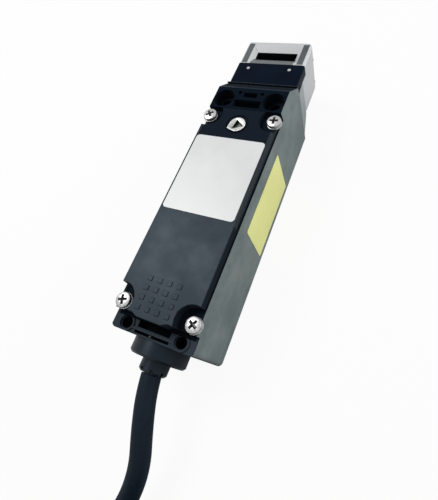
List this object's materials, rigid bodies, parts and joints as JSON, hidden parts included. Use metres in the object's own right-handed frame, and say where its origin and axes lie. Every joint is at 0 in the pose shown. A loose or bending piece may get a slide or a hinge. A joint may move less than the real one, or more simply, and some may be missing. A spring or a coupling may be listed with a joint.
{
  "type": "solenoid-locked tongue interlock switch",
  "caption": "Narrow safety interlock switch with a moulded case, metal head with a front and an end slot for a tongue, lock release disc and cable entry with a coiled lead.",
  "frame": {"origin": "centre of the four mounting holes, in the plane of the rear face", "axes": "+X across the body, +Y along the body towards the head, +Z out of the front"},
  "size_m": [0.0856, 0.287, 0.0382],
  "materials": {
    "body_case": "moulded, slightly satin",
    "front_cover": "moulded, satin",
    "cover_gasket": "soft",
    "cover_screws": "zinc plated",
    "front_label": "blank printed film",
    "side_label": "blank printed film",
    "head_collar": "painted casting",
    "head_housing": "silver painted die casting",
    "head_front_plate": "black moulded",
    "plate_pins": "plain",
    "head_screws": "zinc plated",
    "cam_drum": "sintered",
    "cam_pin": "ground",
    "operating_rod": "ground",
    "rod_bush": "low-friction plastic",
    "rod_seal": "soft",
    "rod_spring": "wire",
    "contact_block": "moulded",
    "contact_lid": "moulded",
    "contact_carrier": "moulded",
    "moving_contacts": "silver tipped",
    "fixed_contacts": "plain",
    "circuit_board": "solder mask",
    "board_parts": "moulded",
    "inner_wires": "insulated",
    "lock_frame": "folded sheet",
    "lock_lever": "hardened",
    "lever_pin": "ground",
    "solenoid_yoke": "folded sheet",
    "solenoid_bobbin": "moulded",
    "solenoid_coil": "enamelled winding",
    "solenoid_core": "turned",
    "solenoid_plunger": "turned",
    "plunger_spring": "wire",
    "release_key": "die cast",
    "key_retainer": "spring clip",
    "gland_body": "moulded",
    "gland_seal": "soft",
    "gland_nut": "moulded",
    "lead_tail": "cable sheath",
    "lead": "cable sheath",
    "lead_coil": "cable sheath",
    "lead_cores": "insulated cores"
  },
  "bodies": {
    "housing": {"body_case": "body_case", "front_cover": "front_cover", "cover_gasket": "cover_gasket", "cover_screws": "cover_screws", "front_label": "front_label", "side_label": "side_label", "head_collar": "head_collar", "head_housing": "head_housing", "head_front_plate": "head_front_plate", "plate_pins": "plate_pins", "head_screws": "head_screws", "cam_pin": "cam_pin", "rod_bush": "rod_bush", "rod_seal": "rod_seal", "rod_spring": "rod_spring", "contact_block": "contact_block", "contact_lid": "contact_lid", "fixed_contacts": "fixed_contacts", "circuit_board": "circuit_board", "board_parts": "board_parts", "inner_wires": "inner_wires", "lock_frame": "lock_frame", "lever_pin": "lever_pin", "solenoid_yoke": "solenoid_yoke", "solenoid_bobbin": "solenoid_bobbin", "solenoid_coil": "solenoid_coil", "solenoid_core": "solenoid_core", "plunger_spring": "plunger_spring", "gland_body": "gland_body", "gland_seal": "gland_seal", "gland_nut": "gland_nut", "lead_tail": "lead_tail", "lead": "lead", "lead_coil": "lead_coil", "lead_cores": "lead_cores"},
    "cam": {"cam_drum": "cam_drum"},
    "rod": {"operating_rod": "operating_rod", "contact_carrier": "contact_carrier", "moving_contacts": "moving_contacts"},
    "lever": {"lock_lever": "lock_lever"},
    "plunger": {"solenoid_plunger": "solenoid_plunger"},
    "key": {"release_key": "release_key", "key_retainer": "key_retainer"}
  },
  "joints": [
    {"name": "cam_turn", "type": "hinge", "parent": "housing", "child": "cam", "pos_m": [0, 0.0779, 0.0196], "axis": [-1, 0, 0], "range_deg": [0, 60]},
    {"name": "rod_slide", "type": "slide", "parent": "housing", "child": "rod", "axis": [0, 1, 0], "range_m": [0, 0.0026], "deforming": ["rod_spring"]},
    {"name": "lever_turn", "type": "hinge", "parent": "housing", "child": "lever", "pos_m": [0, 0.03, 0.0139], "axis": [1, 0, 0], "range_deg": [0, 28]},
    {"name": "plunger_slide", "type": "slide", "parent": "housing", "child": "plunger", "axis": [0, 1, 0], "range_m": [0, 0.00214], "deforming": ["plunger_spring"]},
    {"name": "key_turn", "type": "hinge", "parent": "housing", "child": "key", "pos_m": [0, 0.0368, 0.038], "axis": [0, 0, 1], "range_deg": [0, 90]}
  ],
  "couplings": [
    {"joint": "cam_turn", "follows": "rod_slide", "rad_per_m": 402.77},
    {"joint": "lever_turn", "follows": "rod_slide", "rad_per_m": 187.96},
    {"joint": "plunger_slide", "follows": "rod_slide", "ratio": 0.8247}
  ]
}
